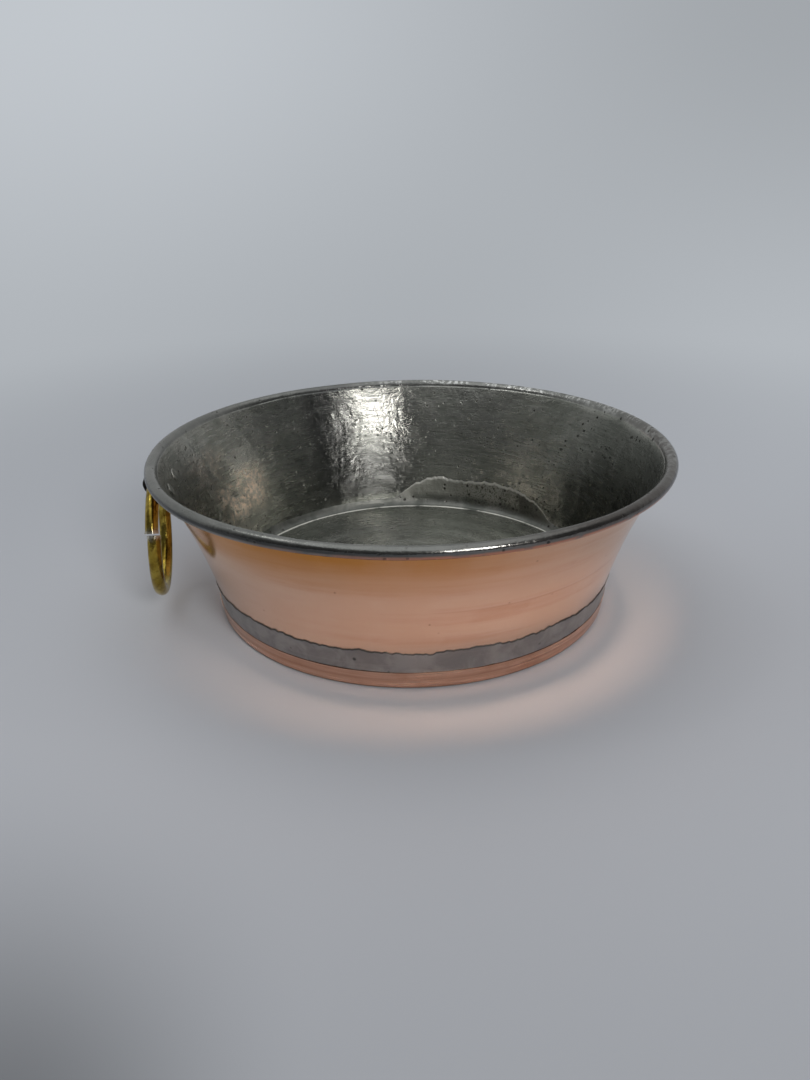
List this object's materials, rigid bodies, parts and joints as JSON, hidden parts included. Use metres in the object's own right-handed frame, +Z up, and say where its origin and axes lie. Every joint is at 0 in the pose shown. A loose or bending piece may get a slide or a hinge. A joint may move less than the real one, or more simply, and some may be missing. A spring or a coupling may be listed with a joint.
{
  "type": "mixing bowl",
  "caption": "Round flared mixing bowl in tinned copper, with a wired rim, a soldered foot and a swinging ring for hanging.",
  "frame": {"origin": "centre of the foot, on the plane the bowl stands on", "axes": "+Z up along the bowl's axis; the ring hangs on the -X side; +Y completes the right-handed frame"},
  "size_m": [0.2425, 0.24, 0.0744],
  "materials": {
    "copper_wall": null,
    "rim_wire_steel": "plain iron wire, hidden in the rim",
    "copper_base": null,
    "outer_solder": "dull grey wiped solder",
    "tinned_inside": "worn, pitted tin",
    "lug_iron": "black forged iron",
    "rivet_iron": "dark iron, tinned over inside the bowl",
    "ring_brass": "polished brass rod with tarnish"
  },
  "bodies": {
    "bowl": {"bowl_wall": "copper_wall", "rim_wire": "rim_wire_steel", "base_pan": "copper_base", "outer_seam_solder": "outer_solder", "inner_seam_solder": "tinned_inside", "ring_lug": "lug_iron", "lug_rivet_left": "rivet_iron", "lug_rivet_right": "rivet_iron"},
    "ring": {"ring_handle": "ring_brass"}
  },
  "joints": [
    {"name": "ring_swing", "type": "hinge", "parent": "bowl", "child": "ring", "pos_m": [-0.117, 0, 0.063], "axis": [0, 1, 0], "range_deg": [-24, 140]}
  ]
}
